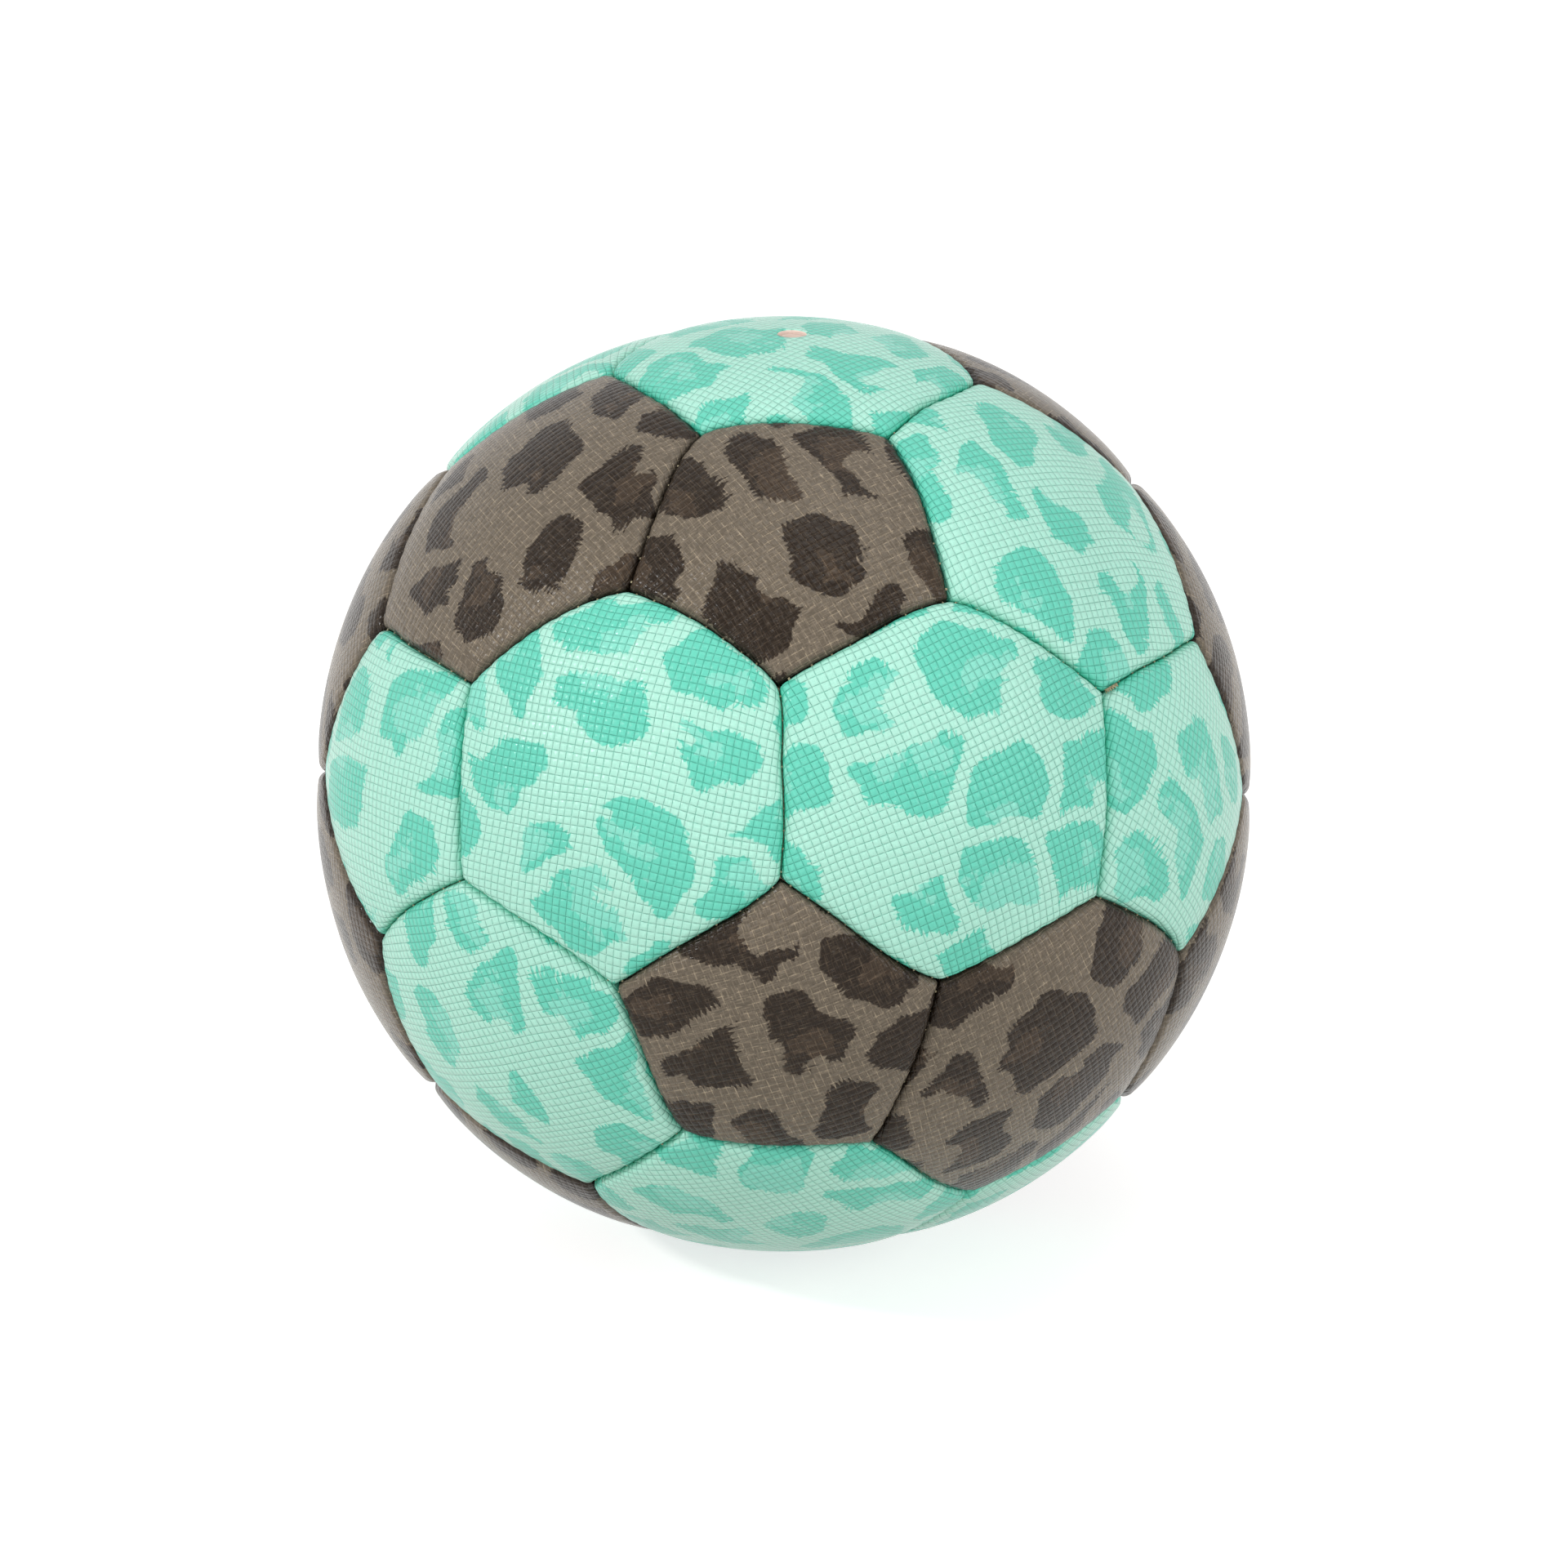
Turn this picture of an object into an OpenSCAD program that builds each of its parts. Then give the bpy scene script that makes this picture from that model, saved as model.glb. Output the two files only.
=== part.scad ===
// Hand-stitched handball: 20 hexagon and 12 pentagon panels over a latex bladder.
// The origin is the middle of the ball, and +Z runs out through the valve.

/* [Ball] */
// Outside diameter across the crowns of two opposite panels
ball_d = 175; // [150:1:190]

/* [Cover] */
// Thickness of the embossed skin
skin_t = 1.2; // [0.8:0.1:1.6]
// Thickness of the foam behind the middle of a panel
foam_t = 2.4; // [2:0.1:4]
// Thickness of the laminated cloth lining
lining_t = 0.9; // [0.6:0.1:1.5]
// How far a panel falls from its middle to the middle of a seam
crown_drop = 0.6; // [0.3:0.1:0.9]
// Radius of the rolled edge of a panel
roll_r = 1.6; // [1.2:0.1:1.9]
// Thickness of the edges that are turned in and sewn together
flange_t = 1; // [0.8:0.1:1.4]
// Gap between the turned-in edges of two panels
seam_gap = 0.1; // [0.06:0.02:0.2]
// Gap between nested layers
ply_gap = 0.05; // [0.03:0.01:0.1]

/* [Stitching] */
// Thickness of the waxed thread
thread_d = 0.7; // [0.4:0.1:0.8]
// Clearance round the thread in its channel
thread_fit = 0.05; // [0.03:0.01:0.1]
// Distance from the end of a thread run to the corner of the panel
thread_end = 1; // [0.8:0.1:2]

/* [Bladder] */
// Wall of the latex bladder
bladder_t = 0.8; // [0.5:0.1:1.2]
// Diameter of the reinforcing patch round the valve
patch_d = 28; // [22:1:32]
// Thickness of the reinforcing patch
patch_t = 0.5; // [0.3:0.1:0.6]

/* [Valve] */
// Diameter of the hole in the skin
valve_hole_d = 5.1; // [4.8:0.1:6]
// Clearance round every piece of the valve
valve_fit = 0.1; // [0.05:0.01:0.2]
// Depth of the valve's face below the crown of the panel
valve_recess = 0.9; // [0.5:0.1:1.1]
// Diameter of the mouth that guides the needle
mouth_d = 2.6; // [2.3:0.1:3]
// Height and width of the flare round the mouth
mouth_flare = 0.4; // [0.2:0.1:0.6]
// Diameter of the neck of the housing
neck_d = 9; // [8.4:0.2:11]
// Length of the neck below the skin
neck_l = 8.6; // [8.4:0.2:12]
// Diameter of the flange that is bonded to the bladder
valve_flange_d = 22; // [18:1:26]
// Thickness of that flange
valve_flange_t = 1.2; // [0.8:0.1:1.6]
// Diameter of the self-sealing core
core_d = 5.4; // [5:0.1:5.8]
// Length of the core
core_l = 6.4; // [6:0.2:7]
// Diameter of the collar that locks the core in the housing
collar_d = 6.6; // [6.2:0.1:7]
// Height of that collar
collar_h = 1.2; // [0.8:0.1:1.6]
// Diameter of the needle channel
needle_d = 2; // [1.6:0.1:2.2]
// Depth of the needle channel above the closed lips
needle_l = 4.8; // [4:0.2:5]
// Width of the slit through the lips
slit_w = 2.4; // [2:0.1:3]
// Opening of that slit
slit_t = 0.1; // [0.06:0.02:0.2]

/* [Hidden] */
$fn = 120;

// Layers, as radii from the middle of the ball
ball_r = ball_d / 2;
foam_in_r = ball_r - skin_t - foam_t;
lining_in_r = foam_in_r - lining_t;
bladder_r = lining_in_r - ply_gap;
bladder_in_r = bladder_r - bladder_t;
reach = 2 * ball_r;

// The ball's lines follow a truncated icosahedron: pentagons on the icosahedron's
// corners and hexagons on its faces, which are the corners of a dodecahedron
golden = (1 + sqrt(5)) / 2;
signs = [-1, 1];
function spun(v) = [v, [v.y, v.z, v.x], [v.z, v.x, v.y]];
PENTAGONS = [for (a = signs, b = signs) each spun([0, a, b * golden])];
HEXAGONS = concat(
    [for (a = signs, b = signs, c = signs) [a, b, c]],
    [for (a = signs, b = signs) each spun([0, a * golden, b / golden])]
);
VALVE_AXIS = [1 / golden, 0, golden];
SIDE_AXIS = [0, 1, 0];

// Angle at which a rolled edge runs out of the crown
roll_crease = 8;

// Angles from the middle of a panel to the middle of its seams, and along half a seam
function unit(v) = v / norm(v);
function angle_between(a, b) = acos(max(-1, min(1, unit(a) * unit(b))));
hexagon_half_angle = angle_between(VALVE_AXIS, [1, 1, 1]) / 2;
pentagon_half_angle = angle_between([0, 1, golden], [1, 1, 1]) - hexagon_half_angle;
seam_half_angle = atan(sin(hexagon_half_angle) * tan(180 / 6));
function half_angle(sides) = sides == 6 ? hexagon_half_angle : pentagon_half_angle;

// The same direction once the ball is turned so that the valve is on top
function turned(v) =
    let (up = unit(VALVE_AXIS), out = unit(v))
    [SIDE_AXIS * out, cross(up, SIDE_AXIS) * out, up * out];

// Hexagons that share a seam, and the hexagons without the valve
function joined(a, b) =
    let (angle = angle_between(a, b))
    angle > hexagon_half_angle && angle < 3 * hexagon_half_angle;
function neighbour(v) = [for (h = HEXAGONS) if (joined(v, h)) h][0];
PLAIN_HEXAGONS = [for (v = HEXAGONS) if (angle_between(v, VALVE_AXIS) > hexagon_half_angle) v];

// A panel's crown is part of a sphere whose centre lies this far out from the ball's
function crown_lift(sides) =
    let (edge_r = ball_r - crown_drop)
    (ball_r * ball_r - edge_r * edge_r) / (2 * (ball_r - edge_r * cos(half_angle(sides))));
function crown_r(sides) = ball_r - crown_lift(sides);

// The thread runs halfway down the flat of the turned-in edges
thread_at_r = (ball_r - crown_drop - roll_r + lining_in_r) / 2;

// Heights of the valve's pieces above the middle of the ball
face_z = ball_r - valve_recess;
neck_top_z = ball_r - skin_t - ply_gap;
neck_foot_z = neck_top_z - neck_l;
core_top_z = neck_foot_z + core_l;
collar_z = neck_foot_z + (core_l - collar_h) / 2;

function two_digits(i) = str(i < 9 ? "0" : "", i + 1);
function hexagon_name(i) = str("hexagon_panel_", two_digits(i));
function pentagon_name(i) = str("pentagon_panel_", two_digits(i));

// Colours of the cover, the same in front and behind
mint = "#a9e5cd";
gray = "#6f665f";
function hexagon_colour(v) = v.x != 0 && v.y * v.z >= 0 ? mint : gray;
function pentagon_colour(v) = v.y != 0 && v.y * v.z <= 0 ? mint : gray;

// Puts Z on the middle of a panel and X towards a neighbour
module facing(v, toward) {
    z = turned(v);
    y = unit(cross(z, turned(toward)));
    x = cross(y, z);
    multmatrix([[x.x, y.x, z.x, 0], [x.y, y.y, z.y, 0], [x.z, y.z, z.z, 0], [0, 0, 0, 1]])
        children();
}

module on_hexagon(v) {
    facing(v, neighbour(v)) children();
}

module on_pentagon(v) {
    nearest = [for (h = HEXAGONS) if (angle_between(v, h) < 2 * hexagon_half_angle) h][0];
    facing(v, nearest) children();
}

// Puts X out through the middle of a seam and Z into the panel, square to the seam's plane
module at_seam(sides, side) {
    rotate([0, half_angle(sides) - 90, side * 360 / sides]) children();
}

// Everything outside the planes of a panel's seams, drawn in by an inset
module outside(sides, inset) {
    for (side = [0 : sides - 1])
        at_seam(sides, side)
            translate([-reach, -reach, inset - reach])
                cube([2 * reach, 2 * reach, reach]);
}

module crown(sides, depth) {
    translate([0, 0, crown_lift(sides)]) sphere(r = crown_r(sides) - depth);
}

// A profile turned about the axis square to a seam, as far as an angle to each side
module along_seam(half_span) {
    rotate(-half_span) rotate_extrude(angle = 2 * half_span) children();
}

// The side of one seam that a panel lies on, with the edge rolled over where it meets the crown
module inside_rolled_edge(sides, side) {
    lift = crown_lift(sides);
    r = crown_r(sides);
    flat_h = seam_gap / 2 - lift * sin(half_angle(sides));
    roll_h = flat_h + roll_r;
    roll_centre = [sqrt(pow(r - roll_r * cos(roll_crease), 2) - roll_h * roll_h), roll_h];
    far = 5 * roll_r;
    translate([0, 0, lift])
        at_seam(sides, side)
            along_seam(3 * seam_half_angle)
                difference() {
                    translate([r / 2, flat_h]) square([r / 2 + 2 * roll_r, r]);
                    difference() {
                        polygon([
                            roll_centre,
                            roll_centre + far * unit(roll_centre),
                            roll_centre + [far, -far],
                            roll_centre + [0, -far]
                        ]);
                        translate(roll_centre) circle(r = roll_r);
                    }
                }
}

// A shell under the crown, trimmed at one seam after another
module trimmed_shell(sides, side) {
    intersection() {
        if (side > 0)
            trimmed_shell(sides, side - 1);
        else
            difference() {
                crown(sides, 0);
                sphere(r = lining_in_r);
            }
        inside_rolled_edge(sides, side);
    }
}

// A round rod in the middle of a seam
module seam_rod(sides, side, d, end) {
    at_seam(sides, side)
        along_seam(seam_half_angle - asin(end / thread_at_r))
            translate([thread_at_r, 0])
                circle(d = d);
}

// Skin of one panel, with its edges rolled over, turned in and channelled for the thread
module panel(sides) {
    difference() {
        difference() {
            trimmed_shell(sides, sides - 1);
            difference() {
                crown(sides, skin_t);
                outside(sides, seam_gap / 2 + flange_t);
            }
        }
        for (side = [0 : sides - 1])
            seam_rod(sides, side, thread_d + 2 * thread_fit, thread_end - thread_fit);
    }
}

// The foam behind one panel, thickest in the middle, where the crown stands highest
module foam_backing(sides) {
    difference() {
        difference() {
            crown(sides, skin_t + ply_gap);
            outside(sides, seam_gap / 2 + flange_t + ply_gap);
        }
        sphere(r = foam_in_r);
    }
}

// The cloth lining behind that foam, of one thickness all over
module lining(sides) {
    difference() {
        difference() {
            sphere(r = foam_in_r - ply_gap);
            sphere(r = lining_in_r);
        }
        outside(sides, seam_gap / 2 + flange_t + ply_gap);
    }
}

// Makes the round hole for the valve through a layer of the valve panel
module valve_hole(d) {
    difference() {
        children();
        cylinder(h = reach, d = d);
    }
}

module valve_panel() {
    color(mint)
        on_hexagon(VALVE_AXIS)
            valve_hole(valve_hole_d)
                panel(6);
}

module hexagon_panel(v) {
    color(hexagon_colour(v))
        on_hexagon(v)
            panel(6);
}

module pentagon_panel(v) {
    color(pentagon_colour(v))
        on_pentagon(v)
            panel(5);
}

module hexagon_foam_backings() {
    color("#f2efe6") {
        on_hexagon(VALVE_AXIS) valve_hole(neck_d + 2 * valve_fit) foam_backing(6);
        for (v = PLAIN_HEXAGONS) on_hexagon(v) foam_backing(6);
    }
}

module pentagon_foam_backings() {
    color("#f2efe6")
        for (v = PENTAGONS) on_pentagon(v) foam_backing(5);
}

module hexagon_linings() {
    color("#dcd6c4") {
        on_hexagon(VALVE_AXIS) valve_hole(patch_d + 2 * valve_fit) lining(6);
        for (v = PLAIN_HEXAGONS) on_hexagon(v) lining(6);
    }
}

module pentagon_linings() {
    color("#dcd6c4")
        for (v = PENTAGONS) on_pentagon(v) lining(5);
}

// Each seam between two hexagons is sewn once
module hexagon_seam_threads() {
    color("#d8cba8")
        for (i = [0 : len(HEXAGONS) - 2])
            for (j = [i + 1 : len(HEXAGONS) - 1])
                if (joined(HEXAGONS[i], HEXAGONS[j]))
                    facing(HEXAGONS[i], HEXAGONS[j]) seam_rod(6, 0, thread_d, thread_end);
}

module pentagon_seam_threads() {
    color("#d8cba8")
        for (v = PENTAGONS)
            for (side = [0 : 4])
                on_pentagon(v) seam_rod(5, side, thread_d, thread_end);
}

// The latex bladder presses on the linings, and opens only where the valve goes in
module bladder() {
    color("#e9d3ae")
        difference() {
            sphere(r = bladder_r);
            sphere(r = bladder_in_r);
            cylinder(h = reach, d = neck_d + 2 * valve_fit);
        }
}

// A disc of the given outer and inner diameters that follows the ball between two radii
module curved_washer(outer_d, inner_d, outer_r, inner_r) {
    rotate_extrude()
        intersection() {
            difference() {
                circle(r = outer_r);
                circle(r = inner_r);
            }
            translate([inner_d / 2, 0]) square([(outer_d - inner_d) / 2, reach]);
        }
}

module valve_patch() {
    color("#e2c391")
        curved_washer(patch_d, neck_d + 2 * valve_fit, lining_in_r + patch_t, lining_in_r);
}

// Moulded rubber body: a neck under the skin, a tip in the hole and a flange inside the bladder
module valve_housing() {
    flange_top_r = bladder_in_r - ply_gap;
    color("#e8cfc4")
        difference() {
            union() {
                intersection() {
                    translate([0, 0, neck_foot_z]) cylinder(h = reach, d = neck_d);
                    crown(6, skin_t + ply_gap);
                }
                translate([0, 0, neck_foot_z])
                    cylinder(h = face_z - neck_foot_z, d = valve_hole_d - 2 * valve_fit);
                curved_washer(valve_flange_d, 0, flange_top_r, flange_top_r - valve_flange_t);
            }
            translate([0, 0, neck_foot_z - valve_fit])
                cylinder(h = core_l + 2 * valve_fit, d = core_d + 2 * valve_fit);
            translate([0, 0, collar_z - valve_fit])
                cylinder(h = collar_h + 2 * valve_fit, d = collar_d + 2 * valve_fit);
            translate([0, 0, neck_foot_z]) cylinder(h = reach, d = mouth_d);
            translate([0, 0, face_z - mouth_flare])
                cylinder(h = 2 * mouth_flare, d1 = mouth_d, d2 = mouth_d + 4 * mouth_flare);
        }
}

// Self-sealing plug, locked in the housing by its collar, with a blind channel over closed lips
module valve_core() {
    color("#3c3836")
        difference() {
            union() {
                translate([0, 0, neck_foot_z]) cylinder(h = core_l, d = core_d);
                translate([0, 0, collar_z]) cylinder(h = collar_h, d = collar_d);
            }
            translate([0, 0, core_top_z - needle_l]) cylinder(h = reach, d = needle_d);
            translate([-slit_w / 2, -slit_t / 2, neck_foot_z - core_l])
                cube([slit_w, slit_t, 2 * core_l - needle_l]);
        }
}

valve_panel();
for (i = [0 : len(PLAIN_HEXAGONS) - 1])
    hexagon_panel(PLAIN_HEXAGONS[i]);
for (i = [0 : len(PENTAGONS) - 1])
    pentagon_panel(PENTAGONS[i]);
hexagon_foam_backings();
pentagon_foam_backings();
hexagon_linings();
pentagon_linings();
hexagon_seam_threads();
pentagon_seam_threads();
bladder();
valve_patch();
valve_housing();
valve_core();
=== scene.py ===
"""A hand-stitched handball: cover panels, the layers behind them, bladder, valve and studio."""
import math
import random

import bmesh
import bpy
import numpy as np
from mathutils import Matrix, Vector


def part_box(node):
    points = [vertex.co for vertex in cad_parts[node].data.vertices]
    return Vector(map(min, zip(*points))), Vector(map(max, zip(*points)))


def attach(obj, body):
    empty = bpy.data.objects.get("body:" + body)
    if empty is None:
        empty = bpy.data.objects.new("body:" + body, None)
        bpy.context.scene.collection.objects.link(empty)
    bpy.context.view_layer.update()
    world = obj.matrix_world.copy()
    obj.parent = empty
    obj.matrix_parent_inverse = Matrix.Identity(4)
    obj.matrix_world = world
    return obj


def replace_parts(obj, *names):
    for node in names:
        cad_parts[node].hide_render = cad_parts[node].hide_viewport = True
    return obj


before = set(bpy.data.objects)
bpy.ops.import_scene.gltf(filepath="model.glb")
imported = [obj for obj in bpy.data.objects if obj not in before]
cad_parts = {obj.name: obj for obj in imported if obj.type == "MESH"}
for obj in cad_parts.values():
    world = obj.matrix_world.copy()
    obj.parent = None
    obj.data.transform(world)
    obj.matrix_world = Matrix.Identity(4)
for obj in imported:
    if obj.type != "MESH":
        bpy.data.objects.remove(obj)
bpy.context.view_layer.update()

MM = 0.001

# The ball and its layers, measured on the frame
BALL_R = -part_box("hexagon_panel_11")[0][2]
BLADDER_R = -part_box("bladder")[0][2]

# Cover panels
SKIN_T = 1.2 * MM
CROWN_DROP = 0.6 * MM
ROLL_W = 1.8 * MM
ROLL_DEPTH = 1.3 * MM
CORNER_R = (1.2 * MM, 3.4 * MM)
DEEP_CORNER_R = 0.4 * MM
WALL_DEPTH = 3 * SKIN_T
# Width over which the painted seam shade fades out from a seam
SEAM_SHADE_W = 0.8 * MM
SEAM_GAP = 0.16 * MM
FLANGE_T = 1.0 * MM
SHOULDER_W = 8 * MM
SHOULDER_DROP = 0.4 * MM
SLACK = 0.2 * MM
HOLE_R = 2.55 * MM
HOLE_LIP = 0.2 * MM

# Rings of triangles in a panel: the whole panel, its rolled edge, and out to the valve hole
RINGS = 60
ROLL_RINGS = 12
HOLE_RING = 4
BACK_RINGS = (1, 0.85, 0.7, 0.5, 0.3, 0.12)

# Angles, in degrees, past which an edge of a mesh stays sharp
SMOOTH_ANGLE = 50
SKIN_SMOOTH_ANGLE = 60

# Layers behind the skin
PLY_GAP = 0.05 * MM
LINING_T = 0.85 * MM
LINING_IN_R = BLADDER_R + PLY_GAP
FOAM_IN_R = LINING_IN_R + LINING_T + PLY_GAP
BACK_DEPTH = SKIN_T + SHOULDER_DROP + SLACK
BLADDER_T = 0.8 * MM
BLADDER_STEPS = (64, 96)
BLADDER_MERGE = 0.01 * MM
NECK_HOLE_R = 4.6 * MM
PATCH_HOLE_R = 14.1 * MM
PAD_RINGS = 7
PAD_SIDE_SEGMENTS = 12

# Stitches and the unevenness of hand work
STITCH_PITCH = 4 * MM
STITCH_PUCKER = 0.28 * MM
PUCKER_W = 1.3 * MM
STITCHES_EACH_WAY = 4
STITCH_ARCH_R = 0.5 * MM
STITCH_THREAD_R = 0.18 * MM
STITCH_SIDES = 6
STITCH_STEPS = 6
STITCH_OVER = 0.12 * MM
STITCH_SUNK = 0.35 * MM
STITCH_STRAY = 0.4 * MM
RUN_R = 0.3 * MM
RUN_DEPTH = 1.4 * MM
RUN_END = 3 * MM
RUN_SIDES = 8
RUN_STEPS = 20
PLY_R = 0.22 * MM
END_LENGTH = 3.2 * MM
END_TURNS = 2.5
END_SIDES = 8
END_STEPS = 40

# Waves of sway and dents as pairs of span and reach, and the tugs of the last stitches at the corners
SWAYS = ((38 * MM, 0.8 * MM), (15 * MM, 0.18 * MM), (6 * MM, 0.05 * MM))
DENTS = ((48 * MM, 0.12 * MM), (19 * MM, 0.05 * MM))
WAVES_EACH = 7
TUGS = (0.3 * MM, 2.4 * MM)
TUG_SPAN = 5 * MM
TUG_SOFT = 0.8 * MM

# Seeds of the draws
SWAY_SEED = 5
DENT_SEED = 8
TUG_SEED = 345
PANEL_SEED = 32
STITCH_SEED = 4

# The ball's lines: hexagons and pentagons of a truncated icosahedron
GOLDEN = (1 + 5 ** 0.5) / 2
SIGNS = (-1, 1)


def spun(x, y, z):
    return [Vector((x, y, z)), Vector((y, z, x)), Vector((z, x, y))]


PENTAGONS = [v for a in SIGNS for b in SIGNS for v in spun(0, a, b * GOLDEN)]
HEXAGONS = [Vector((a, b, c)) for a in SIGNS for b in SIGNS for c in SIGNS]
HEXAGONS += [v for a in SIGNS for b in SIGNS for v in spun(0, a * GOLDEN, b / GOLDEN)]
VALVE_AXIS = Vector((1 / GOLDEN, 0, GOLDEN))
SIDE_AXIS = Vector((0, 1, 0))

HEXAGON_HALF = VALVE_AXIS.angle(Vector((1, 1, 1))) / 2
PENTAGON_HALF = Vector((0, 1, GOLDEN)).angle(Vector((1, 1, 1))) - HEXAGON_HALF
HALF_ANGLE = {6: HEXAGON_HALF, 5: PENTAGON_HALF}
CORNER_REACH = 1.5 * HEXAGON_HALF

# Where the mint panels lie, in the units of the panels' axes. The far side mirrors the near side.
MINT_UP = 0.5
MINT_ACROSS = -0.5


def turned(v):
    """The same direction once the ball is turned so that the valve is on top."""
    up, out = VALVE_AXIS.normalized(), v.normalized()
    return Vector((SIDE_AXIS.dot(out), up.cross(SIDE_AXIS).dot(out), up.dot(out)))


def sewn(axis, sides, hexagon):
    """Whether a panel shares a seam with a hexagon."""
    if sides == 6:
        return HEXAGON_HALF < axis.angle(hexagon) < 3 * HEXAGON_HALF
    return axis.angle(hexagon) < 2 * HEXAGON_HALF


class Panel:
    """One panel of the cover: its frame node, its lines and the matrix that puts it on the ball."""

    def __init__(self, node, axis, sides):
        self.node, self.axis, self.sides = node, axis, sides
        across, up = (axis.y * axis.z, axis.x) if sides == 6 else (-axis.y * axis.z, axis.y)
        self.mint = abs(up) > MINT_UP and across > MINT_ACROSS
        z = turned(axis)
        y = z.cross(turned(next(h for h in HEXAGONS if sewn(axis, sides, h)))).normalized()
        self.matrix = Matrix((y.cross(z), y, z)).transposed()
        self.half = HALF_ANGLE[sides]
        self.step = 2 * math.pi / sides
        edge_r = BALL_R - CROWN_DROP
        self.lift = (BALL_R**2 - edge_r**2) / (2 * (BALL_R - edge_r * math.cos(self.half)))

    def crown(self, tilt):
        """Radius of the crown at an angle from the middle of the panel."""
        across = self.lift * np.sin(tilt)
        return self.lift * np.cos(tilt) + np.sqrt((BALL_R - self.lift) ** 2 - across**2)

    def folded(self, bearing):
        """A bearing as the angle from the middle of the nearest seam."""
        return (bearing + self.step / 2) % self.step - self.step / 2

    def apothem(self, inset):
        """Slope of the line from the ball's middle to a line drawn in from a seam."""
        return math.tan(self.half) * (1 - inset / (BALL_R * math.sin(self.half) * math.cos(self.half)))

    def outline(self, bearing, apothem, corner):
        """Slope out to a polygon with rounded corners."""
        theta = abs(self.folded(bearing))
        centre = (apothem - corner) / math.cos(self.step / 2)
        off = self.step / 2 - theta
        round_part = centre * np.cos(off) + np.sqrt(np.maximum(corner**2 - (centre * np.sin(off)) ** 2, 0))
        straight = np.tan(theta) * apothem <= math.tan(self.step / 2) * (apothem - corner)
        return np.where(straight, apothem / np.cos(theta), round_part)

    def at(self, slope, bearing, radius):
        """The points at slopes and bearings from the middle of the panel, one in each row."""
        flat = np.stack((slope * np.cos(bearing), slope * np.sin(bearing), np.ones_like(slope)), axis=-1)
        return flat * (radius / np.sqrt(1 + slope**2))[..., None]


PLAIN_HEXAGONS = [v for v in HEXAGONS if VALVE_AXIS.angle(v) > HEXAGON_HALF]
VALVE_PANEL = Panel("valve_panel", VALVE_AXIS, 6)
PANELS = [VALVE_PANEL]
PANELS += [Panel(f"hexagon_panel_{i + 1:02d}", v, 6) for i, v in enumerate(PLAIN_HEXAGONS)]
PANELS += [Panel(f"pentagon_panel_{i + 1:02d}", v, 5) for i, v in enumerate(PENTAGONS)]
PANELS_BY_NODE = {panel.node: panel for panel in PANELS}


# The unevenness of hand work: slow waves across the ball that carry seams and panels along together

def heading(luck):
    return Vector([luck.gauss(0, 1) for _ in range(3)]).normalized()


def waves(spans, luck):
    return [(heading(luck) * (2 * math.pi / span), heading(luck) * reach, luck.uniform(0, 2 * math.pi))
            for span, reach in spans for _ in range(WAVES_EACH)]


SWAY_WAVES = waves(SWAYS, random.Random(SWAY_SEED))
DENT_WAVES = waves(DENTS, random.Random(DENT_SEED))


def corner_tugs(luck):
    """Ways out to the corners of the cover, and how far the last stitches pulled each towards one panel."""
    ways, pulls = [], []
    for panel in (p for p in PANELS if p.sides == 5):
        for k in range(panel.sides):
            slope = panel.apothem(0) / math.cos(panel.step / 2)
            way = panel.matrix @ Vector(panel.at(np.array(slope), np.array((k + 0.5) * panel.step), 1.0))
            near = [p for p in PANELS if turned(p.axis).angle(way) < CORNER_REACH]
            aim = turned(luck.choice(near).axis)
            ways.append(way)
            pulls.append((aim - way * aim.dot(way)).normalized() * luck.uniform(*TUGS))
    return np.array(ways), np.array(pulls)


CORNER_WAYS, CORNER_PULLS = corner_tugs(random.Random(TUG_SEED))


def settled(points):
    """Where hand work leaves points: seams and corners sway along the ball, and the cover has faint dents."""
    out = points / np.linalg.norm(points, axis=1, keepdims=True)
    to_corner = BALL_R * np.sqrt(np.maximum(2 - 2 * out @ CORNER_WAYS.T, 0) + (TUG_SOFT / BALL_R) ** 2)
    near = np.exp(-to_corner / TUG_SPAN)
    sway = sum(np.sin(points @ np.array(w) + phase)[:, None] * np.array(push)
               for w, push, phase in SWAY_WAVES)
    sway = sway / math.sqrt(WAVES_EACH) + near @ CORNER_PULLS
    dent = sum((np.sin(points @ np.array(w) + phase) - 1) * push.length
               for w, push, phase in DENT_WAVES)
    along = sway - out * (sway * out).sum(axis=1, keepdims=True)
    return points + along + out * (dent / WAVES_EACH)[:, None]


# Mesh tools

def boundary(bm):
    return [e for e in bm.edges if e.is_boundary]


def drawn(bm, rim):
    """Extrudes a rim of edges, and gives the new rim and its vertices."""
    made = bmesh.ops.extrude_edge_only(bm, edges=rim)["geom"]
    verts = {v for v in made if isinstance(v, bmesh.types.BMVert)}
    edges = [e for e in made if isinstance(e, bmesh.types.BMEdge)]
    return [e for e in edges if verts.issuperset(e.verts) and e.is_boundary], verts


def bearing_of(point):
    return math.atan2(point.y, point.x)


def to_mesh(bm, name, smooth_angle=SMOOTH_ANGLE):
    """A smooth mesh of a bmesh, with its normals outwards."""
    bmesh.ops.recalc_face_normals(bm, faces=bm.faces[:])
    mesh = bpy.data.meshes.new(name)
    bm.to_mesh(mesh)
    bm.free()
    mesh.shade_smooth()
    mesh.set_sharp_from_angle(angle=math.radians(smooth_angle))
    return mesh


def points_of(mesh):
    flat = np.empty(len(mesh.vertices) * 3, dtype=np.float32)
    mesh.vertices.foreach_get("co", flat)
    return flat.reshape(-1, 3).astype(float)


def set_points(mesh, points):
    mesh.vertices.foreach_set("co", points.astype(np.float32).ravel())
    mesh.update()


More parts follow.
